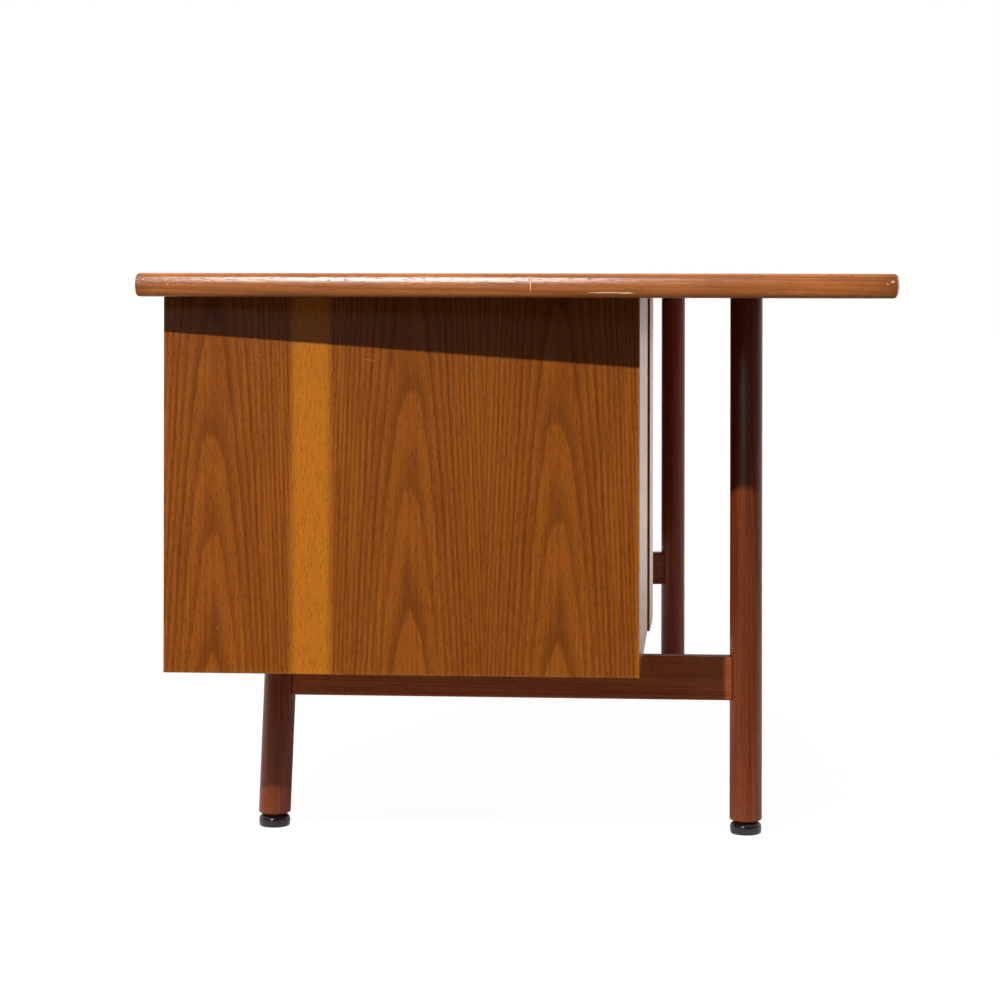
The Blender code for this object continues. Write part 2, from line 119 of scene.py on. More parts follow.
def plan_distance(points, x, y):
    """Each point's distance in plan from an upright axis."""
    return np.hypot(points[:, 0] - x, points[:, 1] - y)


def pedestal_axes(side):
    """Rows: a pedestal's own x, y (towards visitors) and z. Its drawers slide along -y."""
    back = -np.array(JOINTS[f"{side}_top_drawer_slide"]["axis"])
    back /= np.linalg.norm(back)
    return np.array([(back[1], -back[0], 0.0), (back[0], back[1], 0.0), (0.0, 0.0, 1.0)])


AXES = {side: pedestal_axes(side) for side in SIDES}


def own_points(name, side):
    """A node's vertices in its pedestal's own frame."""
    return node_points(name) @ AXES[side].T


def own_box(name, side):
    """Lowest and highest corner of a node in its pedestal's own frame."""
    points = own_points(name, side)
    return points.min(0), points.max(0)


TOP_LOW, TOP_HIGH = (np.array(corner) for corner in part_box("tabletop_core"))
TOP_MIDDLE = (TOP_LOW[2] + TOP_HIGH[2]) / 2


def ring_of_top():
    """Centre and radii of the top's two long edges, and the half angle between its ends.

    A circle through points (x, y) about (0, c) has x^2 + y^2 = 2 c y + (r^2 - c^2), a straight line
    in y, so least squares over the crown's outermost points gives c and r.
    """
    radii = []
    for name in ("lipping_visitor", "lipping_user"):
        points = node_points(name)
        crown = points[np.abs(points[:, 2] - TOP_MIDDLE) < SAME]
        squares = (crown[:, :2] ** 2).sum(1)
        (double_centre, rest), *_ = np.linalg.lstsq(
            np.column_stack([crown[:, 1], np.ones(len(crown))]), squares, rcond=None
        )
        centre = double_centre / 2
        radii.append((rest + centre**2) ** 0.5)
    ends = node_points("lipping_right_end")
    crown = ends[np.abs(ends[:, 2] - TOP_MIDDLE) < SAME]
    out = crown[crown[:, 0].argmax()]
    return centre, radii[0], radii[1], atan2(out[0], out[1] - centre)


RING_CENTRE, VISITOR_RADIUS, USER_RADIUS, HALF_ANGLE = ring_of_top()


LIPPING_WIDTH = VISITOR_RADIUS - plan_distance(node_points("lipping_visitor"), 0.0, RING_CENTRE).min()


# ---- surfaces
def lines_between(low, high, radius, extra=()):
    """Grid lines across a board: fine through each rounded edge, plain between, and any extra."""
    through = radius * (1 - np.tan(np.radians(EDGE_TURNS)))[::-1]
    inset = np.concatenate([through, radius + np.array(EDGE_STEPS)])
    inset = inset[inset < (high - low) / 2]
    plain = np.linspace(low + radius, high - radius, max(2, round((high - low) / PLAIN_STEP)))
    room = inset.max()
    plain = plain[(plain > low + room * 1.2) & (plain < high - room * 1.2)]
    extra = np.array([x for x in extra if low + room < x < high - room])
    lines = np.sort(np.concatenate([low + inset, high - inset, plain, extra]))
    keep = np.append(True, np.diff(lines) > 1e-6)
    return lines[keep]


def rounded_board(low, high, radius, extra=((), (), ())):
    """A box with rounded edges, as (points, quads).

    Each of the six faces is a grid over two of the axes. A point p of it goes to c + r n, where c is
    p held inside the box shrunk by the radius r, and n is the unit vector from c to p. The faces'
    shared edges are then welded.
    """
    low, high = np.asarray(low, float), np.asarray(high, float)
    lines = [lines_between(low[i], high[i], radius, extra[i]) for i in range(3)]
    points, quads, count = [], [], 0
    for axis in range(3):
        first, second = (axis + 1) % 3, (axis + 2) % 3
        across, along = np.meshgrid(lines[first], lines[second], indexing="ij")
        for face, level in enumerate((low[axis], high[axis])):
            grid = np.empty(across.shape + (3,))
            grid[..., axis], grid[..., first], grid[..., second] = level, across, along
            index = count + np.arange(across.size).reshape(across.shape)
            corners = [index[:-1, :-1], index[1:, :-1], index[1:, 1:], index[:-1, 1:]]
            if face == 0:
                corners = corners[::-1]
            quads.append(np.stack(corners, -1).reshape(-1, 4))
            points.append(grid.reshape(-1, 3))
            count += across.size
    points, quads = np.concatenate(points), np.concatenate(quads)
    core = np.clip(points, low + radius, high - radius)
    away = points - core
    points = core + radius * away / np.linalg.norm(away, axis=1, keepdims=True)
    _, chosen, renumbered = np.unique(
        np.round(points / 1e-6).astype(np.int64), axis=0, return_index=True, return_inverse=True
    )
    return points[chosen], renumbered.reshape(-1)[quads]


def loft(rings):
    """A closed surface through rings of equal point count, as (points, faces), with flat ends.

    rings[i, j] is the point at step i of the path and step j round the section. The faces point
    out: if the sum of p0 . (p1 x p2) over them, six times the volume, is negative, they are turned.
    """
    steps, count = rings.shape[:2]
    points = rings.reshape(-1, 3)
    index = np.arange(steps * count).reshape(steps, count)
    after = np.roll(index, -1, axis=1)
    quads = np.stack([index[:-1], after[:-1], after[1:], index[1:]], -1).reshape(-1, 4)
    ends = (index[0, ::-1], index[-1])
    fans = [np.stack([np.full(count - 2, end[0]), end[1:-1], end[2:]], -1) for end in ends]
    triangles = points[np.concatenate([quads[:, :3], quads[:, [0, 2, 3]], *fans])]
    volume = (triangles[:, 0] * np.cross(triangles[:, 1], triangles[:, 2])).sum()
    faces = quads.tolist() + [end.tolist() for end in ends]
    if volume < 0:
        faces = [face[::-1] for face in faces]
    return points, faces


def rounded_corner(corner, start, end, radius, steps=6):
    """A corner p as the curve (1-t)^2 a + 2t(1-t) p + t^2 b, a and b a radius away on either side."""
    corner, start, end = (np.asarray(p, float) for p in (corner, start, end))
    a = corner + radius * (start - corner) / np.linalg.norm(start - corner)
    b = corner + radius * (end - corner) / np.linalg.norm(end - corner)
    t = np.linspace(0, 1, steps)[:, None]
    return (1 - t) ** 2 * a + 2 * t * (1 - t) * corner + t**2 * b


def eased(outline, radius, steps=4):
    """A closed outline with every corner rounded."""
    turns = zip(np.roll(outline, 1, axis=0), outline, np.roll(outline, -1, axis=0))
    return np.concatenate([rounded_corner(p, a, b, radius, steps) for a, p, b in turns])


def eased_line(line, radius, steps=4):
    """An open line with its inner corners rounded."""
    line = np.asarray(line, float)
    bends = [rounded_corner(p, a, b, radius, steps) for a, p, b in zip(line, line[1:], line[2:])]
    return np.concatenate([line[:1], [line[0] - (0.0, radius)], *bends, line[-1:]])


def triangle_wave(distance, width):
    """Folds a distance back and forth, between 0 and a width."""
    return width - np.abs(np.mod(distance, 2 * width) - width)


def board_wear(points, low, high):
    """1 on a board's edges, fading inwards: exp(-d / reach), d the distance to the nearest edge."""
    gap = np.sort(np.minimum(points - low, high - points), axis=1)
    return np.exp(-np.maximum(gap[:, 1], 0.0) / WEAR_REACH)


def veneer_marks(points, faces, low, high, across, along, joint, slips, sap):
    """Where each vertex was in the log, for a board laid with book-matched leaves of veneer.

    timber is the way across from the heart of the leaf, mirrored at each joint, then the depth of
    the slice, then the way along the grain. leaf holds, face by face, how far its leaf slipped along
    the grain and how much of its sapwood was left on.
    """
    through = 3 - across - along
    distance = points[:, across] - low[across] - joint
    timber = np.column_stack([
        triangle_wave(distance, LEAF_WIDTH) - LEAF_HEART,
        SLICE_DEPTH + points[:, through] - low[through],
        points[:, along] - low[along],
    ])
    which = np.floor(distance[faces].mean(1) / LEAF_WIDTH).astype(int)
    which -= int(np.floor(-joint / LEAF_WIDTH))
    slips = np.asarray(slips)[np.clip(which, 0, len(slips) - 1)]
    leaf = np.column_stack([slips, np.full(len(slips), sap), np.zeros(len(slips))])
    return {"timber": timber, "leaf": leaf}


def joints_between(low, high, joint):
    """Where the leaves of veneer meet across a board."""
    first = int(np.ceil((-joint) / LEAF_WIDTH))
    last = int(np.floor((high - low - joint) / LEAF_WIDTH))
    return [low + joint + k * LEAF_WIDTH for k in range(first, last + 1)]


def solid_marks(points, faces, centre, across, along, pith, slip):
    """Where each vertex was in the log, for a piece sawn from solid wood.

    timber is its two distances across the grain from the pith, and the way along the grain.
    """
    other = 3 - across - along
    timber = np.column_stack([
        points[:, across] - centre[across] + pith[0],
        points[:, other] - centre[other] + pith[1],
        points[:, along] - centre[along],
    ])
    leaf = np.tile((slip, 0.0, 0.0), (len(faces), 1))
    return {"timber": timber, "leaf": leaf}


def add_object(name, data):
    """An object of some data, linked to the scene."""
    made = bpy.data.objects.new(name, data)
    bpy.context.scene.collection.objects.link(made)
    return made


def add_piece(name, points, faces, marks, wear, place, slot, node, corner_dark_and_under_shade=None, material=None):
    """Make the mesh, write what the finish reads on it, and hang it on its node's body."""
    corner_dark_and_under_shade = np.zeros(len(points)) if corner_dark_and_under_shade is None else corner_dark_and_under_shade
    faces = faces.tolist() if isinstance(faces, np.ndarray) else faces
    mesh = bpy.data.meshes.new(name)
    mesh.from_pydata(points, [], faces)
    for label, kind, domain, values in (
        ("timber", "FLOAT_VECTOR", "POINT", marks["timber"]),
        ("place", "FLOAT_VECTOR", "POINT", place),
        ("wear", "FLOAT", "POINT", wear),
        ("corner_dark_and_under_shade", "FLOAT", "POINT", corner_dark_and_under_shade),
        ("leaf", "FLOAT_VECTOR", "FACE", marks["leaf"]),
    ):
        attribute = mesh.attributes.new(label, kind, domain)
        key = "vector" if kind == "FLOAT_VECTOR" else "value"
        attribute.data.foreach_set(key, np.asarray(values, np.float32).reshape(-1))
    mesh.shade_smooth()
    mesh.set_sharp_from_angle(angle=SHARP_ANGLE)
    mesh.materials.append(material or FINISH[slot])
    piece = add_object(name, mesh)
    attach(piece, BODY[node])
    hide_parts(node)
    return piece


# ---- finishes
def linear(code):
    """An sRGB hex colour as linear red, green, blue and alpha."""
    parts = [int(code[i : i + 2], 16) / 255 for i in (1, 3, 5)]
    return (*(c / 12.92 if c <= 0.04045 else ((c + 0.055) / 1.055) ** 2.4 for c in parts), 1.0)


def put(tree, kind, links=(), **settings):
    """Add a shader node with its settings, and return its outputs.

    links gives its inputs, by position or by key: a socket is joined, a value is set.
    """
    made = tree.nodes.new("ShaderNode" + kind)
    for key, value in settings.items():
        setattr(made, key, value)
    for key, value in links.items() if isinstance(links, dict) else enumerate(links):
        if isinstance(value, bpy.types.NodeSocket):
            tree.links.new(value, made.inputs[key])
        else:
            made.inputs[key].default_value = value
    return made.outputs


def maths(tree, operation, *values):
    """The result of a sum over one, two or three sockets or numbers."""
    return put(tree, "Math", values, operation=operation)[0]


def start_material(name):
    """A new node material, with its tree and its Principled shader."""
    material = bpy.data.materials.new(name)
    material.use_nodes = True
    return material, material.node_tree, material.node_tree.nodes["Principled BSDF"]


def finish_material(tree, shader, colour, rough, height, strength, distance, ior):
    """Join a material's colour, roughness and bump to its shader."""
    bump = put(tree, "Bump", {"Strength": strength, "Distance": distance, "Height": height})
    for label, socket in (("Base Color", colour), ("Roughness", rough), ("Normal", bump[0])):
        tree.links.new(socket, shader.inputs[label])
    shader.inputs["IOR"].default_value = ior


def ellipses(tree, place, spots):
    """How near a point is to any of some flat ellipses on a board: 1 inside, 0 outside.

    Each is (x, z, half length, half width, turn in degrees) in the board's own plane.
    """
    nearest = None
    for x, z, length, width, turn in spots:
        moved = put(tree, "Mapping", {
            "Vector": place,
            "Location": (x, 0.0, z),
            "Rotation": (0.0, radians(-turn), 0.0),
            "Scale": (length, 1.0, width),
        }, vector_type="TEXTURE")[0]
        flat = put(tree, "VectorMath", (moved, (1.0, 0.0, 1.0)), operation="MULTIPLY")[0]
        size = put(tree, "VectorMath", (flat,), operation="LENGTH")["Value"]
        if nearest is None:
            nearest = size
        else:
            nearest = maths(tree, "MINIMUM", nearest, size)
    return put(tree, "MapRange", (nearest, 1.0, 0.5))[0]


def timber_nodes(tree, wood):
    """The figure of a piece of timber, from where each point was in its log, as named sockets.

    The distance from the pith plus a little of the way along the grain, since a log tapers, gives
    the growth rings: on a flat slice they run into tall pointed flames. Two noises bend them, a slow
    one for the log's own bends and a quick one that makes the tips ragged.
    """
    timber = put(tree, "Attribute", attribute_name="timber")["Vector"]
    leaf = put(tree, "Attribute", attribute_name="leaf")["Vector"]
    leaf_parts = put(tree, "SeparateXYZ", (leaf,))
    slip = put(tree, "CombineXYZ", {"Z": leaf_parts[0]})[0]
    grown = put(tree, "VectorMath", (timber, slip), operation="ADD")[0]
    parts = put(tree, "SeparateXYZ", (grown,))
    flat = put(tree, "CombineXYZ", {"X": parts[0], "Y": parts[1]})[0]
    radius = put(tree, "VectorMath", (flat,), operation="LENGTH")["Value"]

    textures = []
    for kind, (across_mm, along_mm), settings in (
        *(("TexNoise", size, noise) for size, noise in wood["bends"]),
        ("TexNoise", *wood["fibre"]), ("TexNoise", *wood["streak"]), ("TexNoise", *wood["cloud"]),
        ("TexVoronoi", wood["pore_cell"], {}),
    ):
        per_metre = (1000 / across_mm, 1000 / across_mm, 1000 / along_mm)
        cells = put(tree, "VectorMath", (grown, per_metre), operation="MULTIPLY")[0]
        textures.append(put(tree, kind, {"Vector": cells, "Scale": 1.0, **settings})[0])
    *bends, fibre, streak, cloud, pore = textures

    ring = maths(tree, "MULTIPLY_ADD", parts[2], wood["taper"], radius)
    for bend, reach_mm in zip(bends, wood["bend_mm"]):
        ring = maths(tree, "MULTIPLY_ADD", bend, 2 * reach_mm / 1000, ring)
    phase = maths(tree, "DIVIDE", ring, wood["ring_mm"] / 1000)
    within, number = (maths(tree, part, phase) for part in ("FRACT", "FLOOR"))
    weight = put(tree, "TexWhiteNoise", {"W": number}, noise_dimensions="1D")["Value"]
    line = put(tree, "MapRange", (weight, 0.0, 1.0, RING_WEAKEST, 1.0))[0]
    for start, stop in ((RING_END, RING_START), (0.0, RING_START)):
        edge = put(tree, "MapRange", (within, start, stop), interpolation_type="SMOOTHSTEP")[0]
        line = maths(tree, "MULTIPLY", line, edge)

    pore = put(tree, "MapRange", (pore, wood["pore_size"], wood["pore_size"] * 0.6))[0]
    crowd = put(tree, "MapRange", (streak, 0.25, 0.5))[0]
    pore = maths(tree, "MULTIPLY", pore, crowd)
    across = put(tree, "SeparateXYZ", (timber,))[0]
    return {"across": across, "sapwood": leaf_parts[1], "line": line, "fibre": fibre,
            "streak": streak, "cloud": cloud, "pore": pore}


def wooden(name, wood, knots=(), scratches=()):
    """A finished wood: its colours laid over each other from the figure, with gloss and bump."""
    material, tree, shader = start_material(name)
    figure = timber_nodes(tree, wood)
    place = put(tree, "Attribute", attribute_name="place")["Vector"]
    figure["rubbed"] = put(tree, "TexNoise", {
        "Vector": place, "Scale": RUB_PER_METRE, "Detail": 3.0
    })[0]
    for label in ("wear", "corner_dark_and_under_shade"):
        figure[label] = put(tree, "Attribute", attribute_name=label)["Fac"]

    share = {}  # each is a source, the range it is read over, and the range that this becomes
    for label, source, low, high, to_low, to_high in (
        ("mid", "streak", 0.32, 0.68, 0.0, 1.0),
        ("cloudy", "cloud", 0.35, 0.75, 0.0, wood["cloud_share"]),
        ("dark", "line", 0.0, 1.0, 0.0, wood["line_share"]),
        ("wander", "streak", 0.0, 1.0, -SAPWOOD_WANDER, SAPWOOD_WANDER),
        ("fibre", "fibre", 0.3, 0.7, 1.0 - wood["fibre_share"], 1.0 + wood["fibre_share"]),
        ("pore", "pore", 0.0, 1.0, 0.0, wood["pore_share"]),
        ("rubbed", "rubbed", 0.40, 0.62, 0.15 * wood["wear_share"], wood["wear_share"]),
        ("corner_dark_and_under_shade", "corner_dark_and_under_shade", 0.0, 1.0, 0.0, CORNER_DARK_AND_SHADE_SHARE),
        ("rough", "fibre", 0.2, 0.8, wood["rough"] - 0.04, wood["rough"] + 0.06),
    ):
        share[label] = put(tree, "MapRange", (figure[source], low, high, to_low, to_high))[0]
    worn = maths(tree, "MULTIPLY", figure["wear"], share["rubbed"])

    below = [("mid", share["mid"]), ("cloudy", share["cloudy"]), ("dark", share["dark"])]
    if "sapwood" in wood:
        edge = wood["sapwood_mm"] / 1000 - LEAF_HEART
        where = maths(tree, "ADD", figure["across"], share["wander"])
        fade = (where, edge + SAPWOOD_FADE, edge - SAPWOOD_FADE)
        golden = put(tree, "MapRange", fade, interpolation_type="SMOOTHSTEP")[0]
        golden = maths(tree, "MULTIPLY", golden, figure["sapwood"])
        below.append(("sapwood", golden))
    # the lippings' corner darkening and their painted shade underneath go on in the dark colour
    above = [("pore", share["pore"]), ("dark", share["corner_dark_and_under_shade"]), ("worn", worn)]
    rough = share["rough"]
    if knots:
        above.insert(1, ("pore", ellipses(tree, place, knots)))
    if scratches:
        bare = ellipses(tree, place, scratches)
        above.append(("bare", bare))
        rough = maths(tree, "MULTIPLY_ADD", bare, 0.3, rough)

    colour = linear(wood["light"])
    for layers in (below, above):
        for label, factor in layers:
            colour = put(tree, "Mix", {
                0: factor, 6: colour, 7: linear(wood[label])
            }, data_type="RGBA")[2]
        if layers is below:
            colour = put(tree, "VectorMath", {0: colour, "Scale": share["fibre"]}, operation="SCALE")[0]
    rough = maths(tree, "MULTIPLY_ADD", figure["pore"], 0.2, rough)
    height = maths(tree, "MULTIPLY_ADD", figure["pore"], -0.7, figure["fibre"])
    finish_material(tree, shader, colour, rough, height, wood["bump"], 0.0002, wood["ior"])
    return material


# Each wood's noises are their grain across and along the wood, in mm, and their settings. The pores
# of all four are drawn coarser than real, so that they show.
SLOW, QUICK, FUZZY = {"Detail": 2.0}, {"Detail": 3.0}, {"Detail": 2.0, "Roughness": 0.6}

# Plain-sliced teak, laid on board and lacquered thin: warm orange brown with slow dark flames,
# a pale sapwood stripe at a joint, and open pores that read as short dark dashes.
TEAK_VENEER = {
    "ring_mm": 2.9, "taper": 0.0206,
    "bends": (((70, 520), SLOW), ((9, 150), QUICK)), "bend_mm": (1.6, 0.39),
    "fibre": ((1.1, 14), FUZZY), "streak": ((4, 260), QUICK), "cloud": ((60, 260), SLOW),
    "pore_cell": (2.2, 13), "pore_size": 0.33, "pore_share": 0.42,
    "light": "#9b5819", "mid": "#854516", "cloudy": "#763711", "cloud_share": 0.50,
    "dark": "#4a1f08", "line_share": 0.60, "fibre_share": 0.12,
    "sapwood": "#b2691c", "sapwood_mm": 24, "pore": "#2c1003",
    "worn": "#b98450", "wear_share": 0.5, "bare": "#a8744a",
    "rough": 0.25, "bump": 0.3, "ior": 1.17,
}

# Solid teak lippings, hand-rubbed to a soft shine: lighter, with straighter lines along them.
TEAK_EDGE = {
    "ring_mm": 3.4, "taper": 0.010,
    "bends": (((60, 500), SLOW), ((5, 90), QUICK)), "bend_mm": (2.5, 0.5),
    "fibre": ((1.1, 12), FUZZY), "streak": ((3, 160), SLOW), "cloud": ((40, 120), SLOW),
    "pore_cell": (2.2, 10), "pore_size": 0.33, "pore_share": 0.55,
    "light": "#b56c33", "mid": "#9d5a28", "cloudy": "#84461a", "cloud_share": 0.6,
    "dark": "#5f3011", "line_share": 0.45, "fibre_share": 0.12,
    "pore": "#3f1d0a", "worn": "#c08c60", "wear_share": 0.35, "bare": "#d9b894",
    "rough": 0.18, "bump": 0.3, "ior": 1.48,
}

# Turned and planed walnut, stained a dark red brown and satin lacquered.
WALNUT_FRAME = {
    "ring_mm": 3.2, "taper": 0.012,
    "bends": (((50, 380), SLOW), ((5, 60), QUICK)), "bend_mm": (2.5, 0.6),
    "fibre": ((1.1, 14), FUZZY), "streak": ((4, 220), SLOW), "cloud": ((35, 150), SLOW),
    "pore_cell": (2.2, 10), "pore_size": 0.33, "pore_share": 0.4,
    "light": "#7f3c1a", "mid": "#6b2e13", "cloudy": "#5c250c", "cloud_share": 0.5,
    "dark": "#3a1306", "line_share": 0.5, "fibre_share": 0.10,
    "pore": "#240d06", "worn": "#8a5238", "wear_share": 0.25, "bare": "#a07254",
    "rough": 0.36, "bump": 0.35, "ior": 1.33,
}

# Painted light: a lighter copy of the stained walnut, given only to the right end frame's stretcher so that it
# reads as lit by light bounced up from the floor into the pedestal's shade.
WALNUT_RAIL_PAINTED_LIGHT = dict(WALNUT_FRAME, light="#a75a2a", mid="#8e4722", cloudy="#7b3c18", dark="#521f0b")

# Planed beech, waxed only: pale pinkish tan with small darker flecks.
DRAWER_BEECH = {
    "ring_mm": 2.6, "taper": 0.012,
    "bends": (((60, 420), SLOW), ((5, 70), QUICK)), "bend_mm": (2.5, 0.5),
    "fibre": ((0.7, 16), SLOW), "streak": ((5, 240), SLOW), "cloud": ((50, 200), SLOW),
    "pore_cell": (1.8, 4), "pore_size": 0.22, "pore_share": 0.45,
    "light": "#cfa883", "mid": "#c09874", "cloudy": "#b78c66", "cloud_share": 0.5,
    "dark": "#a1774f", "line_share": 0.5, "fibre_share": 0.05,
    "pore": "#8a5f3e", "worn": "#dcc0a2", "wear_share": 0.3, "bare": "#e6cfb4",
    "rough": 0.52, "bump": 0.25, "ior": 1.45,
}


def black_moulding():
    """Moulded black nylon: glossy from the mould's polish, dulled a little by dust low down."""
    material, tree, shader = start_material("moulded_black_nylon")
    place = put(tree, "Attribute", attribute_name="place")["Vector"]
    height = put(tree, "SeparateXYZ", (place,))[2]
    speck, dust = (
        put(tree, "TexNoise", {"Vector": place, "Scale": per_metre, "Detail": detail})[0]
        for per_metre, detail in ((SPECK_PER_METRE, 2.0), (DUST_PER_METRE, 4.0))
    )
    low, dust, rough = (
        put(tree, "MapRange", (value, start, stop, to_low, to_high))[0]
        for value, start, stop, to_low, to_high in (
            (height, 0.006, 0.0, 0.0, 1.0), (dust, 0.45, 0.7, 0.0, 1.0), (speck, 0.3, 0.7, 0.14, 0.24)
        )
    )
    dust = maths(tree, "MULTIPLY", dust, low)
    pale = maths(tree, "MULTIPLY", dust, 0.5)
    colour = put(tree, "Mix", {
        0: pale, 6: linear("#121013"), 7: linear("#57504c")
    }, data_type="RGBA")[2]
    rough = maths(tree, "MULTIPLY_ADD", dust, 0.35, rough)
    finish_material(tree, shader, colour, rough, speck, 0.12, 0.0001, 1.53)
    return material


# Marks of age, as (along, up, half length, half width, turn) on the board's own plane.
PIN_KNOTS = (
    (0.375, 0.305, 0.0013, 0.0009, 0), (0.377, 0.235, 0.0012, 0.0010, 0),
    (0.459, 0.202, 0.0012, 0.0010, 0), (0.390, 0.072, 0.0013, 0.0010, 0),
    (0.400, 0.160, 0.0011, 0.0009, 0),
)
PANEL_SCRATCHES = (
    (0.122, 0.400, 0.0045, 0.0004, 25), (0.259, 0.395, 0.0095, 0.0004, -8),
    (0.069, 0.058, 0.0040, 0.0004, 60), (0.000, 0.395, 0.0014, 0.0060, 0),
)
LIPPING_SCRATCHES = (
    (0.590, 0.0064, 0.0280, 0.0008, 0), (0.612, 0.0060, 0.0110, 0.0011, 0),
    (0.496, 0.0160, 0.0007, 0.0110, 0), (0.930, 0.0200, 0.0025, 0.0014, 20),
    (0.924, 0.0170, 0.0014, 0.0008, 0),
)

FINISH = {
    "teak_veneer": wooden("lacquered_teak_veneer", TEAK_VENEER),
    "teak_edge": wooden("oiled_solid_teak", TEAK_EDGE),
    "walnut_frame": wooden("stained_walnut", WALNUT_FRAME),
    "walnut_rail_painted_light": wooden("stained_walnut_painted_lit", WALNUT_RAIL_PAINTED_LIGHT),
    "drawer_beech": wooden("waxed_beech", DRAWER_BEECH),
    "black_glide": black_moulding(),
}
MARKED_VENEER = wooden("lacquered_teak_veneer_marked", TEAK_VENEER, PIN_KNOTS, PANEL_SCRATCHES)
MARKED_EDGE = wooden("oiled_solid_teak_scratched", TEAK_EDGE, (), LIPPING_SCRATCHES)


# ---- tabletop
def inset_angle(radius, inset):
    """Half angle, at a radius, of a line parallel to the top's end and so far in from it."""
    return HALF_ANGLE - np.arcsin(inset / radius)


def on_arc(radius, angle, height, centre=RING_CENTRE):
    """Points on arcs about (0, centre): (r sin a, centre + r cos a, z)."""
    parts = radius * np.sin(angle), centre + radius * np.cos(angle), height
    return np.stack(np.broadcast_arrays(*parts), -1)


def tabletop_core():
    """The veneered board of the top: a box whose x runs along the arc and y along the radius.

    x goes from -1 to 1 of the half angle at that radius, which keeps the ends parallel to the
    lippings, and the grain runs straight along X.
    """
    inner = node_points("tabletop_core")
    radius = plan_distance(inner, 0.0, RING_CENTRE)
    inset = VISITOR_RADIUS - radius.max()
    middle_radius = (radius.max() + radius.min()) / 2
    half = middle_radius * inset_angle(middle_radius, inset)
    low = (-half, radius.min(), TOP_LOW[2])
    high = (half, radius.max(), TOP_HIGH[2])
    joint = 0.11
    points, faces = rounded_board(low, high, TOP_JOINT_ARRIS)
    share = points[:, 0] / half
    angle = share * inset_angle(points[:, 1], inset)
    place = on_arc(points[:, 1], angle, points[:, 2])
    marks = veneer_marks(place, faces, place.min(0), place.max(0), 1, 0, joint,
                         (0.7, 0.74, 0.69, 0.78, 0.72, 0.7), 0.0)
    add_piece("tabletop_core_veneered", place, faces, marks, np.zeros(len(place)), place,
              "teak_veneer", "tabletop_core")


def lipping_outline():
    """The lipping's section as (inset from the edge, height): square inside, crowned outside.

    The crown is an arc, r - sqrt(r^2 - z^2) in from the edge at a height z off the middle, and its
    two arrises are quadratic curves.
    """
    reach = (TOP_HIGH[2] - TOP_LOW[2]) / 2
    off = np.linspace(-reach, reach, CROWN_STEPS + 1)
    arc = np.column_stack([LIPPING_ROUND - np.sqrt(LIPPING_ROUND**2 - off**2), TOP_MIDDLE + off])
    lower = rounded_corner(arc[0], (LIPPING_WIDTH, TOP_LOW[2]), arc[1], LIPPING_ARRIS)
    upper = rounded_corner(arc[-1], arc[-2], (LIPPING_WIDTH, TOP_HIGH[2]), LIPPING_ARRIS)
    crown = arc[np.abs(off) < reach - LIPPING_ARRIS]
    flat = np.linspace(LIPPING_WIDTH, arc[0, 0] + 1.5 * LIPPING_ARRIS, 4)
    top = np.column_stack([flat[::-1], np.full(4, TOP_HIGH[2])])
    bottom = np.column_stack([flat, np.full(4, TOP_LOW[2])])
    return np.concatenate([bottom, lower, crown, upper, top])


def lippings():
    """Four solid edges round the core: the section carried along each edge, cut off at the mitres.

    On a long edge a section point at inset d goes round the arc of radius R - d (R + d on the user
    side), as far as the line parallel to the end at inset d. On an end it goes straight from one arc
    to the other, at inset d from the end.
    """
    section = lipping_outline()
    depth, height = section[:, 0], section[:, 1]
    worn = np.exp(-np.minimum(np.abs(height - TOP_HIGH[2]), np.abs(height - TOP_LOW[2])) / WEAR_REACH)
    worn *= depth < 2 * LIPPING_ARRIS

    for name, edge_radius, inward, slip in (
        ("lipping_visitor", VISITOR_RADIUS, -1, 0.3), ("lipping_user", USER_RADIUS, 1, 2.1)
    ):
        radius = edge_radius + inward * depth
        steps = round(2 * edge_radius * HALF_ANGLE / SWEEP_STEP)
        share = spread(steps)[:, None]
        angle = share * inset_angle(radius, depth + MITRE_GAP)[None, :]
        rings = on_arc(radius, angle, height)
        along = share * edge_radius * HALF_ANGLE
        add_lipping(name, rings, along, depth, height, worn, slip)

    ends = {"right": (1, 4.4, MARKED_EDGE), "left": (-1, 6.3, None)}
    for side, (sign, slip, material) in ends.items():
        start_radius = USER_RADIUS + depth + MITRE_GAP
        end_radius = VISITOR_RADIUS - depth - MITRE_GAP
        start = on_arc(start_radius, sign * inset_angle(start_radius, depth), height)
        end = on_arc(end_radius, sign * inset_angle(end_radius, depth), height)
        length = VISITOR_RADIUS - USER_RADIUS
        share = (spread(round(length / SWEEP_STEP)) + 1) / 2
        rings = start + share[:, None, None] * (end - start)
        along = share[:, None] * length
        add_lipping(f"lipping_{side}_end", rings, along, depth, height, worn, slip, material)


def spread(steps):
    """From -1 to 1, closer together at both ends."""
    near = np.array([0.0, 0.0015, 0.004, 0.009])
    plain = np.linspace(0.018, 1.982, steps)
    return np.concatenate([near, plain, 2 - near[::-1]]) - 1


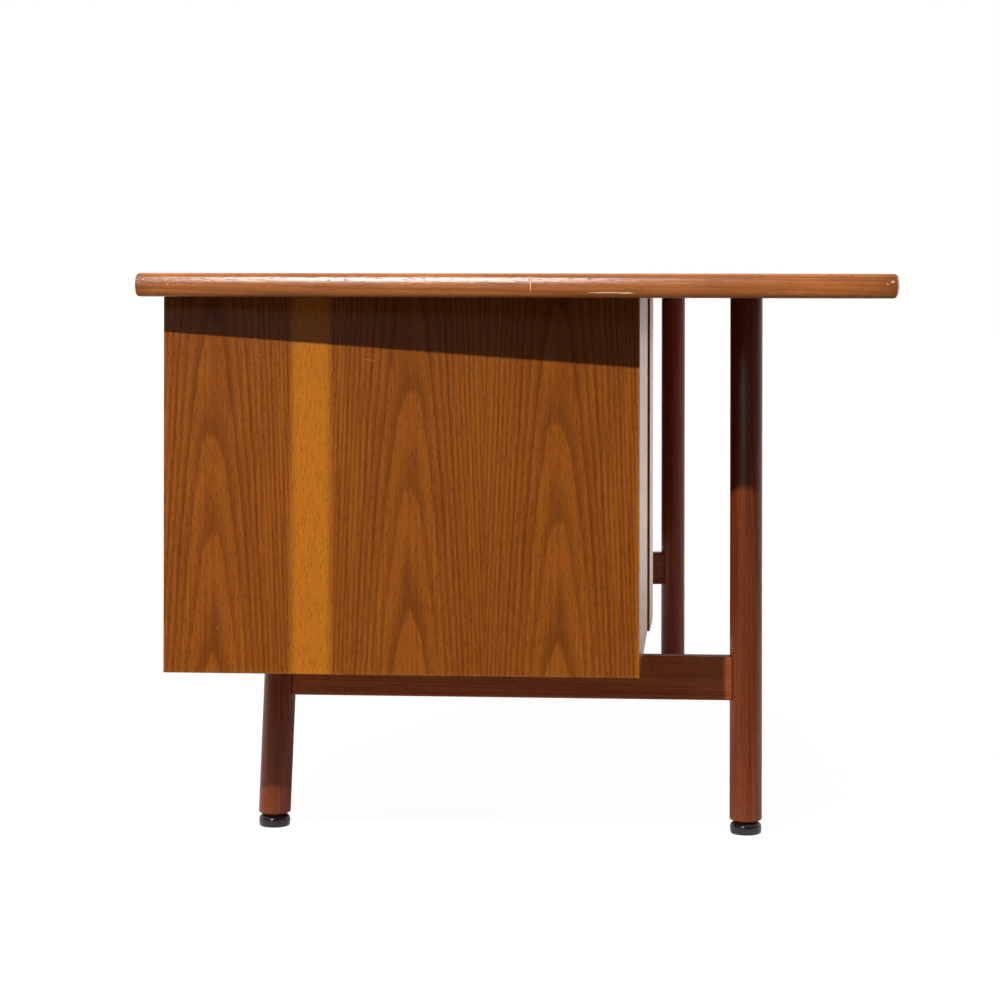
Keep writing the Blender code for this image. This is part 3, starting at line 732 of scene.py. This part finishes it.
def add_lipping(name, rings, along, depth, height, worn, slip, material=None):
    """Add one lipping, its grain running along it and its place measured from its first corner."""
    along = np.broadcast_to(along, rings.shape[:2])
    worn = np.broadcast_to(worn, rings.shape[:2])
    from_end = np.minimum(along - along.min(), along.max() - along)
    flat = np.stack(np.broadcast_arrays(along, depth, height), -1)
    points, faces = loft(rings)
    flat = flat.reshape(-1, 3)
    marks = solid_marks(flat, faces, (0.0, 0.0, TOP_MIDDLE), 2, 0, (0.031, 0.052), slip)
    place = flat - (0.0, 0.0, TOP_LOW[2])
    # painted shade: darker down the lower half of the crown, and darker in from each corner
    under = np.clip((TOP_MIDDLE - flat[:, 2]) / (TOP_HIGH[2] - TOP_MIDDLE), 0.0, 1.0)
    corner_dark_and_under_shade = np.maximum(np.exp(-from_end / CORNER_DARK_REACH).reshape(-1), UNDER_SHADE * under**1.5)
    add_piece(f"{name}_shaped", points, faces, marks, worn.reshape(-1), place, "teak_edge", name,
              corner_dark_and_under_shade, material)


# ---- pedestals and their drawers
def board(node, side, across, along, slot, radius, joint=None, slips=(0.0,), sap=0.0, pith=(0.05, 0.03),
          slip=0.0, material=None, label="veneered", bend=None, extra=((), (), ())):
    """A board of a pedestal, from its node's box in the pedestal's own frame.

    bend moves points of the straight board before it is turned into place.
    """
    low, high = own_box(node, side)
    if joint is not None:
        extra = list(extra)
        extra[across] = (*extra[across], *joints_between(low[across], high[across], joint))
    points, faces = rounded_board(low, high, radius, extra)
    wear = board_wear(points, low, high)
    if bend:
        points = bend(points, low, high)
    if joint is None:
        marks = solid_marks(points, faces, (low + high) / 2, across, along, pith, slip)
    else:
        marks = veneer_marks(points, faces, low, high, across, along, joint, slips, sap)
    order = [across, 3 - across - along, along]
    place = (points - low)[:, order]
    add_piece(f"{node}_{label}", points @ AXES[side], faces, marks, wear, place,
              slot, node, material=material)


def carcass(side):
    """Two sides, a back and a bottom, all laid with leaves of veneer, grain upright."""
    marked = side == "right"
    board(f"{side}_pedestal_outer_side", side, 1, 2, "teak_veneer", VENEER_ARRIS, 0.187,
          (0.0, -0.057, -0.018), 1.0 if marked else 0.0,
          material=MARKED_VENEER if marked else None)
    for part, across, along, joint, slips in (
        ("inner_side", 1, 2, 0.08, (1.3, 1.26, 1.33, 1.29)),
        ("back", 0, 2, 0.21, (2.4, 2.44, 2.38)),
        ("bottom", 0, 1, 0.21, (3.4, 3.44, 3.38)),
    ):
        board(f"{side}_pedestal_{part}", side, across, along, "teak_veneer", VENEER_ARRIS, joint, slips)


def scoop_of(node, side):
    """Half width, depth and radius of the finger scoop in a front's top edge, from its vertices."""
    points = own_points(node, side)
    low, high = points.min(0), points.max(0)
    middle = (low[0] + high[0]) / 2
    upper = points[points[:, 2] > (low[2] + high[2]) / 2]
    depth = high[2] - upper[np.abs(upper[:, 0] - middle).argmin(), 2]
    on_top = np.abs(upper[upper[:, 2] > high[2] - SAME, 0] - middle)
    half = on_top.min()
    return half, depth, (half**2 + depth**2) / (2 * depth)


SCOOP_REACH = 0.055  # how far down a front its grid is drawn in under the scoop
SCOOP_LINES = 17


def drawer_front(label, side, slip):
    """A front with a finger scoop: the board's upper edge is let down along an arc.

    At a distance x from the middle, inside the scoop, it goes down by sqrt(r^2 - x^2) - (r - d),
    for a scoop of depth d and radius r, and this dies out linearly over the reach below the edge.
    """
    node = f"{label}_front"
    half, depth, radius = scoop_of(node, side)
    low, high = own_box(node, side)
    middle = (low[0] + high[0]) / 2

    def let_down(points, low, high):
        x = np.clip(np.abs(points[:, 0] - middle), 0.0, half)
        down = np.sqrt(radius**2 - x**2) - (radius - depth)
        share = np.clip((points[:, 2] - (high[2] - SCOOP_REACH)) / SCOOP_REACH, 0.0, 1.0)
        return points - np.column_stack([np.zeros_like(down), np.zeros_like(down), down * share])

    columns = middle + np.linspace(-half, half, SCOOP_LINES)
    rows = high[2] - np.linspace(0.0, SCOOP_REACH, 5)[1:]
    board(node, side, 2, 0, "teak_veneer", FRONT_ARRIS, (high[2] - low[2]) / 2 - LEAF_HEART,
          (slip, slip + 0.04, slip + 0.01), bend=let_down, extra=(columns, (), rows))


def drawer_side(node, side, slip):
    """A drawer's side: its grooved section, corners eased, carried straight along the drawer."""
    points = own_points(node, side)
    low, high = points.min(0), points.max(0)
    ring = section_of(points, low[1])
    outline = eased(ring, BOX_ARRIS / 2)
    count = round((high[1] - low[1]) / PLAIN_STEP)
    along = low[1] + (spread(count) + 1) / 2 * (high[1] - low[1])
    rings = np.stack(np.broadcast_arrays(outline[:, 0], along[:, None], outline[:, 1]), -1)
    points, faces = loft(rings)
    marks = solid_marks(points, faces, (low + high) / 2, 2, 1, (0.02, 0.06), slip)
    wear = board_wear(points, low, high)
    add_piece(f"{node}_grooved", points @ AXES[side], faces, marks, wear, points - low,
              "drawer_beech", node)


def section_of(points, level):
    """The outline of a grooved side's end face, in order round it.

    Each of its two walls has one groove: two corners on the wall and two at the groove's floor.
    """
    end = np.unique(np.round(points[np.abs(points[:, 1] - level) < SAME][:, [0, 2]], 6), axis=0)
    left, right = end[:, 0].min(), end[:, 0].max()
    bottom, *edges, top = np.unique(end[:, 1])
    grooves = {left: [], right: []}
    for levels in (edges[:2], edges[2:]):
        lower, upper = (end[end[:, 1] == height] for height in levels)
        wall = left if left in lower[:, 0] else right
        lower = lower[np.argsort(np.abs(lower[:, 0] - wall))]
        upper = upper[np.argsort(-np.abs(upper[:, 0] - wall))]
        grooves[wall] = [*lower, *upper]
    up = [(right, bottom), *grooves[right], (right, top)]
    down = [(left, top), *grooves[left][::-1], (left, bottom)]
    return np.array(up + down)


def drawer(label, side, slip):
    """One drawer: veneered front, grooved beech sides, back and bottom, and its two runners."""
    drawer_front(label, side, slip)
    for hand in ("left", "right"):
        drawer_side(f"{label}_{hand}_side", side, slip + 0.7 * (hand == "left"))
        board(f"{label}_{hand}_runner", side, 2, 1, "drawer_beech", BOX_ARRIS, slip=slip,
              label="planed")
    board(f"{label}_back", side, 2, 0, "drawer_beech", BOX_ARRIS, slip=slip + 1.1, label="planed")
    board(f"{label}_bottom", side, 1, 0, "drawer_beech", BOX_ARRIS / 2, 0.12,
          (slip, slip + 0.05, slip - 0.02), label="laid")


# ---- modesty panel
def modesty_panel():
    """The bowed board between the pedestals: a box whose x runs along the arc, y along the radius.

    The arc goes through the outer corner (x, y) and the middle (0, m): its half angle is twice the
    arctangent of (m - y) / x. Its ends stay parallel to the pedestals' inner sides.
    """
    points = node_points("modesty_panel")
    low, high = points.min(0), points.max(0)
    near_end = points[points[:, 0] > high[0] - 0.004]
    corner = near_end[near_end[:, 1].argmax()]
    inner_corner = near_end[near_end[:, 1].argmin()]
    middle = points[np.abs(points[:, 0]) < 1e-4]
    top, bottom = middle[:, 1].max(), middle[:, 1].min()
    half_angle = 2 * atan2(top - corner[1], corner[0])
    radius = corner[0] / sin(half_angle)
    centre = top - radius
    inner_radius = bottom - centre
    inner_angle = atan2(inner_corner[0], inner_corner[1] - centre)
    half = radius * half_angle
    box_low = np.array([-half, inner_radius, low[2]])
    box_high = np.array([half, radius, high[2]])
    joint = half - 2 * LEAF_WIDTH
    lines = joints_between(-half, half, joint)
    bench, faces = rounded_board(box_low, box_high, VENEER_ARRIS, (lines, (), ()))
    depth = (radius - bench[:, 1]) / (radius - inner_radius)
    angle = bench[:, 0] / half * (half_angle + (inner_angle - half_angle) * depth)
    place = on_arc(bench[:, 1], angle, bench[:, 2], centre)
    slips = (4.1, 4.14, 4.08, 4.12, 4.1)
    marks = veneer_marks(bench, faces, box_low, box_high, 0, 2, joint, slips, 0.0)
    add_piece("modesty_panel_veneered", place, faces, marks, board_wear(bench, box_low, box_high),
              bench - box_low, "teak_veneer", "modesty_panel")


# ---- end frames and glides
def turned(profile, centre_x, centre_y):
    """A turned piece: at step i the section is a circle of radius profile[i, 0] about the axis.

    profile rows are (radius, height), read from the top down; centre_y may change with the row.
    """
    angle = np.linspace(0, 2 * pi, ROUND_STEPS, endpoint=False)[None, :]
    radius, height = profile[:, :1], profile[:, 1:]
    centre_y = np.broadcast_to(np.asarray(centre_y, float).reshape(-1, 1), radius.shape)
    return np.stack([
        centre_x + radius * np.cos(-angle), centre_y + radius * np.sin(-angle), height + 0 * angle
    ], -1)


LEG_STEP = 0.03
LEG_ARRIS = 0.0008
CHAMFER_RISE = 0.6  # a leg's chamfer goes up by this share of what it goes in
STEM_CHAMFER = 0.0005
HEEL_SLOPE = 0.0008  # a glide's side draws in by this down to the floor
HEEL_ROUND = 0.0022


def leg_ends(points):
    """A leg's top and foot: the middle of each, half its width, and its vertices."""
    ends = []
    for level in (points[:, 2].max(), points[:, 2].min()):
        end = points[np.abs(points[:, 2] - level) < SAME]
        low, high = end.min(0), end.max(0)
        ends.append(((low + high) / 2, (high[0] - low[0]) / 2, end))
    return ends


def leg(side, which, slip):
    """A turned leg with a chamfered foot, drilled for its glide's stem.

    The outside leans: its centre moves with the height as the node's does, while the bore below
    stays upright over the glide.
    """
    node = f"{side}_{which}_leg"
    points = own_points(node, side)
    ((x, y_top, top), radius, _), ((_, y_foot, base), sole, foot) = leg_ends(points)
    chamfer = radius - sole
    bore = plan_distance(foot, x, y_foot).min()
    inside = points[plan_distance(points, x, y_foot) < bore * 1.05]
    bore_top = inside[inside[:, 2] < top - 1e-3, 2].max()
    shoulder = base + CHAMFER_RISE * chamfer
    corners = [(radius, top), (radius, shoulder), (sole, base), (bore, base), (bore, bore_top)]
    outer = eased_line(corners, LEG_ARRIS)
    outer = np.concatenate([[(radius - LEG_ARRIS, top)], outer])
    straight = np.arange(base + chamfer + LEG_STEP, top - LEG_STEP, LEG_STEP)[::-1]
    outer = np.concatenate([outer[:3], [(radius, height) for height in straight], outer[3:]])
    slope = (y_top - y_foot) / (top - base)
    in_bore = np.arange(len(outer)) >= len(outer) - 3
    lean = np.where(in_bore, base, outer[:, 1])
    rings = turned(outer, x, y_top - slope * (top - lean))
    made, faces = loft(rings)
    marks = solid_marks(made, faces, (x, y_foot, base), 1, 2, (0.055, 0.035), slip)
    rim = np.abs(made[:, 2] - (base + chamfer))
    edge = np.abs(made[:, 2] - base)
    wear = np.exp(-np.minimum(rim, edge) / WEAR_REACH)
    place = made - (x, y_foot, 0.0)
    add_piece(f"{node}_turned", made @ AXES[side], faces, marks, wear, place,
              "walnut_frame", node)


def stretcher(side, slip):
    """The rail between an end frame's two legs, its ends coped to fit round them.

    A rounded board as long as the legs' axes are apart, whose points are drawn in at each end by
    sqrt(R^2 - x^2), R the cope's radius and x the distance from the frame's plane, and whose user
    end follows the leg's lean.
    """
    node = f"{side}_stretcher"
    low, high = own_box(node, side)
    axis = {}
    for which in ("user", "visitor"):
        (centre, radius, _), (base, *_) = leg_ends(own_points(f"{side}_{which}_leg", side))
        slope = (centre[1] - base[1]) / (centre[2] - base[2])
        axis[which] = (centre[0], centre[1] - slope * (centre[2] - high[2]), slope)
    cope = radius + FIT
    x, start, lean = axis["user"]
    end = axis["visitor"][1]
    box_low = np.array([low[0], start, low[2]])
    box_high = np.array([high[0], end, high[2]])
    bench, faces = rounded_board(box_low, box_high, STRETCHER_ARRIS)
    share = (bench[:, 1] - start) / (end - start)
    inset = np.sqrt(cope**2 - (bench[:, 0] - x) ** 2)
    leaning = lean * (bench[:, 2] - high[2])
    made = bench.copy()
    made[:, 1] = (start + inset + leaning) * (1 - share) + (end - inset) * share
    marks = solid_marks(made, faces, (low + high) / 2, 2, 1, (0.045, 0.02), slip)
    section = np.sort(np.minimum(bench - box_low, box_high - bench)[:, [0, 2]], axis=1)
    wear = np.exp(-section.max(1) / WEAR_REACH)
    place = made - (low[0], start, low[2])
    # painted light: the right stretcher gets the lighter copy of the walnut, the left one the plain walnut
    add_piece(f"{node}_shaped", made @ AXES[side], faces, marks, wear, place,
              "walnut_frame", node, material=FINISH["walnut_rail_painted_light"] if side == "right" else None)


def glide(node, side):
    """A moulded foot: a stem over a dome, a quarter of |x|^3 + |z|^3 = 1, a drawn-in heel and a sole.

    Its radii and heights are the node's own, read from its rings of vertices.
    """
    points = own_points(node, side)
    centre = (points.min(0) + points.max(0)) / 2
    radius = plan_distance(points, centre[0], centre[1])
    height = points[:, 2]
    top, widest_radius = height.max(), radius.max()
    widest = height[radius > widest_radius - SAME].mean()
    stem = radius[height > top - SAME].max()
    shoulder = height[(radius < stem * 1.02) & (height < top - 1e-3) & (height > widest)].max()
    flat = np.sort(radius[np.abs(height - shoulder) < SAME])[-1]
    sole = radius[height < SAME + height.min()].max()
    angle = np.linspace(0, pi / 2, 14)
    dome = np.column_stack([
        flat + (widest_radius - flat) * np.sin(angle) ** (2 / 3),
        widest + (shoulder - widest) * np.abs(np.cos(angle)) ** (2 / 3),
    ])
    heel = rounded_corner((widest_radius - HEEL_SLOPE, 0.0), dome[-1], (sole, 0.0), HEEL_ROUND, 7)
    post = [(stem - STEM_CHAMFER, top), (stem, top - STEM_CHAMFER), (stem, shoulder)]
    profile = np.concatenate([post, dome, heel, [(sole, 0.0)]])
    made, faces = loft(turned(profile, centre[0], centre[1]))
    place = made - (centre[0], centre[1], 0.0)
    marks = {"timber": place, "leaf": np.zeros((len(faces), 3))}
    add_piece(f"{node}_moulded", made @ AXES[side], faces, marks, np.zeros(len(made)), place,
              "black_glide", node)


# ---- the desk
def desk():
    """Make every piece, over the same nodes on both sides.

    The slips, in metres along the log, only keep two pieces from showing the same figure.
    """
    tabletop_core()
    lippings()
    modesty_panel()
    for number, side in enumerate(SIDES):
        carcass(side)
        slides = sorted(name for name in JOINTS if name.startswith(side) and name.endswith("_slide"))
        for rank, slide in enumerate(slides):
            drawer(slide.removesuffix("_slide"), side, 5.0 + 1.7 * rank + 6.0 * number)
        for rank, which in enumerate(("user", "visitor")):
            leg(side, which, 1.5 + 2.3 * rank + 4.0 * number)
            glide(f"{side}_{which}_leg_glide", side)
        stretcher(side, 9.0 + 3.0 * number)


desk()


# ---- camera, light and floor
CAMERA_EYE = (4.3122, -0.0797, 0.7315)  # level with the top's edge, square on to the right end
CAMERA_TURN = radians(0.421)
CAMERA_ROLL = radians(0.091)
CAMERA_LENS = 99.0  # mm, over a 36 mm wide image
CAMERA_SHIFT = (-0.0008, -0.2222)  # the horizon stands this share of the frame above its middle

KEY_PLACE = (5.06, -2.52, 4.15)  # a bare lamp, high on the sitter's side of the camera
KEY_RADIUS = 0.06
KEY_POWER = 1615.0
SOFTBOX_AZIMUTH = radians(-26.5)  # from the +X axis, towards the sitter's side
SOFTBOX_HEIGHT = radians(15.4)
SOFTBOX_DISTANCE = 3.2
SOFTBOX_SIZE = (0.85, 0.45)
SOFTBOX_POWER = 58.0
FRONT_GLOW = 0.09  # the studio's brightness on the camera's side
BACK_GLOW = 0.66  # of the white backdrop
FLANK_GLOW = 0.26  # and of the white walls at the desk's two long sides
ROOF_GLOW = 1.2
STUDIO_TINT = (1.0, 0.93, 0.88, 1.0)
WHITE = (1.0, 1.0, 1.0, 1.0)


def towards(azimuth, height):
    """The unit vector to a light, from its azimuth off +X and its height above the horizon."""
    return Vector((cos(azimuth) * cos(height), sin(azimuth) * cos(height), sin(height)))


def camera():
    """The view square on to the desk's right end, its verticals kept upright by the shift."""
    data = bpy.data.cameras.new("camera")
    data.lens, data.sensor_width = CAMERA_LENS, 36.0
    data.shift_x, data.shift_y = CAMERA_SHIFT
    ahead = Vector((-cos(CAMERA_TURN), sin(CAMERA_TURN), 0.0))
    level = Vector((sin(CAMERA_TURN), cos(CAMERA_TURN), 0.0))
    right = level * cos(CAMERA_ROLL) + Vector((0, 0, sin(CAMERA_ROLL)))
    up = Vector((0, 0, cos(CAMERA_ROLL))) - level * sin(CAMERA_ROLL)
    turn = Matrix((right, up, -ahead)).transposed()
    eye = add_object("camera", data)
    eye.matrix_world = Matrix.Translation(CAMERA_EYE) @ turn.to_4x4()
    bpy.context.scene.camera = eye


def light(name, kind, energy, **settings):
    """A light of a kind, linked to the scene."""
    data = bpy.data.lights.new(name, kind)
    data.energy = energy
    for key, value in settings.items():
        setattr(data, key, value)
    return add_object(name, data)


def lights():
    """A crisp key from the front left, and a low softbox whose reflection lies along the top's edge."""
    key = light("key", "POINT", KEY_POWER, shadow_soft_size=KEY_RADIUS)
    key.location = KEY_PLACE
    key.visible_glossy = False
    width, height = SOFTBOX_SIZE
    box = light("softbox", "AREA", SOFTBOX_POWER, shape="RECTANGLE", size=width, size_y=height)
    aim = Vector((cad_high[0], 0.0, TOP_MIDDLE))
    way = towards(SOFTBOX_AZIMUTH, SOFTBOX_HEIGHT)
    box.location = aim + way * SOFTBOX_DISTANCE
    box.rotation_euler = way.to_track_quat("Z", "Y").to_euler()
    box.visible_diffuse = False


def surroundings():
    """A white studio: bright behind the desk, dim on the camera's side, plain white to the eye."""
    world = bpy.data.worlds.new("studio")
    bpy.context.scene.world = world
    world.use_nodes = True
    tree = world.node_tree
    tree.nodes.clear()
    way = put(tree, "TexCoord")["Generated"]
    ahead, beside, above = put(tree, "SeparateXYZ", (way,))
    beside = maths(tree, "ABSOLUTE", beside)
    total = FRONT_GLOW
    for part, start, stop, glow in (
        (ahead, 0.10, -0.45, BACK_GLOW - FRONT_GLOW), (beside, 0.30, 0.90, FLANK_GLOW),
        (above, 0.45, 0.95, ROOF_GLOW),
    ):
        rise = (part, start, stop, 0.0, glow)
        risen = put(tree, "MapRange", rise, interpolation_type="SMOOTHSTEP")[0]
        total = maths(tree, "ADD", risen, total)
    soft = put(tree, "Background", {"Color": STUDIO_TINT, "Strength": total})[0]
    plain = put(tree, "Background", {"Color": WHITE, "Strength": 1.0})[0]
    ray = put(tree, "LightPath")["Is Camera Ray"]
    mixed = put(tree, "MixShader", (ray, soft, plain))[0]
    put(tree, "OutputWorld", {"Surface": mixed})


FLOOR_REACH = 30.0
FLOOR_GLOW = 0.965  # the floor's own white to the eye, so that only a faint shadow shows
FLOOR_SHADE = 0.07
FLOOR_BOUNCE_NEAR = 0.92  # what the floor returns under and behind the desk
FLOOR_BOUNCE_FAR = 0.10  # and in front of the camera
FLOOR_NEAR_REACH = (0.75, 1.05)
FLOOR_BACK_GLOW = 0.46  # the lit sweep far behind
FLOOR_BACK_REACH = (-1.2, -4.0)


def floor():
    """A wide pale floor, a grid of two parameters over the ground."""
    lines = np.linspace(-FLOOR_REACH, FLOOR_REACH, 9)
    x, y = np.meshgrid(lines, lines)
    points = np.column_stack([x.ravel(), y.ravel(), np.full(x.size, cad_low[2] - 0.0002)])
    index = np.arange(x.size).reshape(x.shape)
    corners = [index[:-1, :-1], index[:-1, 1:], index[1:, 1:], index[1:, :-1]]
    quads = np.stack(corners, -1).reshape(-1, 4)
    mesh = bpy.data.meshes.new("floor")
    mesh.from_pydata(points, [], quads.tolist())
    ground = add_object("floor", mesh)
    material = bpy.data.materials.new("pale_floor")
    material.use_nodes = True
    tree = material.node_tree
    tree.nodes.clear()
    glow = put(tree, "Emission", {"Color": WHITE, "Strength": FLOOR_GLOW})[0]
    seen = put(tree, "BsdfDiffuse", {"Color": (FLOOR_SHADE, FLOOR_SHADE, FLOOR_SHADE, 1.0)})[0]
    seen = put(tree, "AddShader", (glow, seen))[0]
    spot = put(tree, "TexCoord")["Object"]
    reach = put(tree, "SeparateXYZ", (spot,))[0]
    bounce, sweep = (
        put(tree, "MapRange", (reach, start, stop, low, high))[0]
        for (start, stop), low, high in (
            (FLOOR_NEAR_REACH, FLOOR_BOUNCE_NEAR, FLOOR_BOUNCE_FAR),
            (FLOOR_BACK_REACH, 0.0, FLOOR_BACK_GLOW),
        )
    )
    other = put(tree, "BsdfDiffuse", {"Color": bounce})[0]
    sweep = put(tree, "Emission", {"Color": WHITE, "Strength": sweep})[0]
    other = put(tree, "AddShader", (other, sweep))[0]
    ray = put(tree, "LightPath")["Is Camera Ray"]
    mixed = put(tree, "MixShader", (ray, other, seen))[0]
    put(tree, "OutputMaterial", {"Surface": mixed})
    mesh.materials.append(material)


camera()
lights()
surroundings()
floor()
bpy.context.scene.view_settings.view_transform = "Standard"
